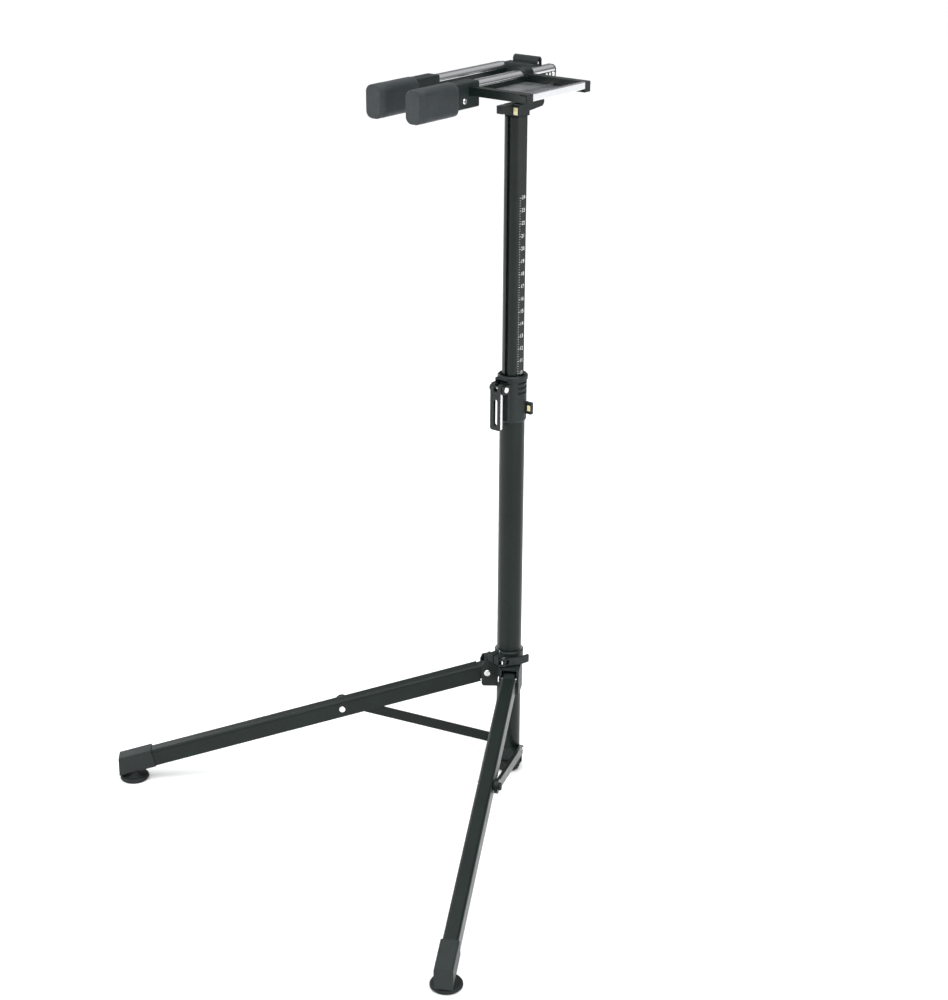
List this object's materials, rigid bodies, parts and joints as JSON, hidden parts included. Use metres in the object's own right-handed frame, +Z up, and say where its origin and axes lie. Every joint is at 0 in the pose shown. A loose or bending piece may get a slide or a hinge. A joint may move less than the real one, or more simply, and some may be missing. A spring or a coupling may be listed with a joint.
{
  "type": "bike repair stand",
  "caption": "Folding work stand: sliding mast on folding legs, head with padded arms that hold a bike by its saddle beside a small tray.",
  "frame": {"origin": "on the floor, where the mast's axis meets it, on the sole of the mast's foot", "axes": "+Z up along the mast; the head's two arms point along -Y; the tray frame is on the +X side"},
  "size_m": [0.8287, 0.7404, 1.175],
  "materials": {
    "black_tube": "satin black powder coat",
    "black_profile": "black anodised, satin",
    "black_plastic": "moulded, fine grain",
    "pad_rubber": "soft grey-black rubber",
    "foot_rubber": "black rubber",
    "bright_rail": "polished and clear anodised",
    "tray_metal": "brushed",
    "steel_fastener": "zinc plated",
    "cream_plate": "blank cream insert",
    "liner_plastic": "natural acetal"
  },
  "bodies": {
    "base": {"lower_tube": "black_tube", "mast_foot_plug": "black_plastic", "mast_foot_sole": "foot_rubber", "mast_bush": "liner_plastic", "height_collar": "black_plastic", "collar_index_plate": "cream_plate", "clamp_shoe": "black_plastic", "height_lever_pin": "steel_fastener", "tube_screws": "steel_fastener"},
    "upper_mast": {"upper_mast_profile": "black_profile", "mast_guide_plug": "liner_plastic", "head_hub": "black_plastic", "hub_bolt": "steel_fastener", "hub_label_plate": "cream_plate", "fixed_arm_rail": "bright_rail", "fixed_arm_channel": "black_profile", "slide_rods": "steel_fastener", "fixed_arm_end_cap": "black_plastic", "fixed_pad_holder": "black_plastic", "fixed_pad_bolt": "steel_fastener", "fixed_arm_pad": "pad_rubber", "frame_bar_front": "black_profile", "frame_bar_plug": "black_plastic", "frame_bar_rear": "black_profile", "frame_side_bar": "bright_rail", "tray_floor": "tray_metal", "frame_screws": "steel_fastener"},
    "moving_arm": {"moving_arm_rail": "bright_rail", "moving_arm_channel": "black_profile", "moving_arm_block": "black_plastic", "moving_arm_screws": "steel_fastener", "arm_lever_pin": "steel_fastener", "moving_pad_holder": "black_plastic", "moving_pad_bolt": "steel_fastener", "moving_arm_pad": "pad_rubber"},
    "arm_lever": {"arm_lever": "black_plastic"},
    "height_lever": {"height_lever": "black_plastic"},
    "leg_collar": {"leg_collar": "black_plastic", "leg_collar_liner": "liner_plastic", "leg_pins": "steel_fastener", "qr_skewer": "steel_fastener", "qr_nut": "black_plastic", "qr_lever_pin": "steel_fastener"},
    "qr_lever": {"qr_lever": "black_plastic"},
    "leg_left": {"leg_channel_left": "black_tube", "leg_knuckle_left": "black_plastic", "leg_cap_left": "black_plastic", "leg_foot_left": "foot_rubber", "brace_upper_pin_left": "steel_fastener", "brace_nut_left": "black_plastic"},
    "brace_left": {"brace_left": "black_tube", "brace_lower_pin_left": "steel_fastener"},
    "leg_right": {"leg_channel_right": "black_tube", "leg_knuckle_right": "black_plastic", "leg_cap_right": "black_plastic", "leg_foot_right": "foot_rubber", "brace_upper_pin_right": "steel_fastener", "brace_nut_right": "black_plastic"},
    "brace_right": {"brace_right": "black_tube", "brace_lower_pin_right": "steel_fastener"}
  },
  "joints": [
    {"name": "mast_height", "type": "slide", "parent": "base", "child": "upper_mast", "axis": [0, 0, 1], "range_m": [-0.27, 0.2]},
    {"name": "height_lever_hinge", "type": "hinge", "parent": "base", "child": "height_lever", "pos_m": [-0.0035, -0.033, 0.6895], "axis": [-1, 0, 0], "range_deg": [0, 115]},
    {"name": "arm_slide", "type": "slide", "parent": "upper_mast", "child": "moving_arm", "axis": [1, 0, 0], "range_m": [-0.03, 0]},
    {"name": "arm_lever_hinge", "type": "hinge", "parent": "moving_arm", "child": "arm_lever", "pos_m": [-0.0925, 0.1525, 1.165], "axis": [-1, 0, 0], "range_deg": [0, 95]},
    {"name": "leg_fold", "type": "slide", "parent": "base", "child": "leg_collar", "axis": [0, 0, 1], "range_m": [0, 0.38495]},
    {"name": "qr_lever_hinge", "type": "hinge", "parent": "leg_collar", "child": "qr_lever", "pos_m": [0.01379, -0.03272, 0.215], "axis": [0, 0, -1], "range_deg": [0, 95]},
    {"name": "leg_left_hinge", "type": "hinge", "parent": "leg_collar", "child": "leg_left", "pos_m": [-0.03184, -0.02004, 0.184], "axis": [0.6769, -0.7361, 0], "range_deg": [0, 69.85]},
    {"name": "brace_left_hinge", "type": "hinge", "parent": "leg_left", "child": "brace_left", "pos_m": [-0.21108, -0.18486, 0.1226], "axis": [0.6769, -0.7361, 0], "range_deg": [-130.83, 0]},
    {"name": "leg_right_hinge", "type": "hinge", "parent": "leg_collar", "child": "leg_right", "pos_m": [0.02358, -0.02931, 0.184], "axis": [0.8796, 0.4756, 0], "range_deg": [0, 69.85]},
    {"name": "brace_right_hinge", "type": "hinge", "parent": "leg_right", "child": "brace_right", "pos_m": [0.13939, -0.24351, 0.1226], "axis": [0.8796, 0.4756, 0], "range_deg": [-130.83, 0]}
  ],
  "couplings": [
    {"joint": "leg_left_hinge", "follows": "leg_fold", "rad_per_m": 3.1647},
    {"joint": "brace_left_hinge", "follows": "leg_fold", "rad_per_m": -5.9294},
    {"joint": "leg_right_hinge", "follows": "leg_fold", "rad_per_m": 3.1647},
    {"joint": "brace_right_hinge", "follows": "leg_fold", "rad_per_m": -5.9294}
  ]
}
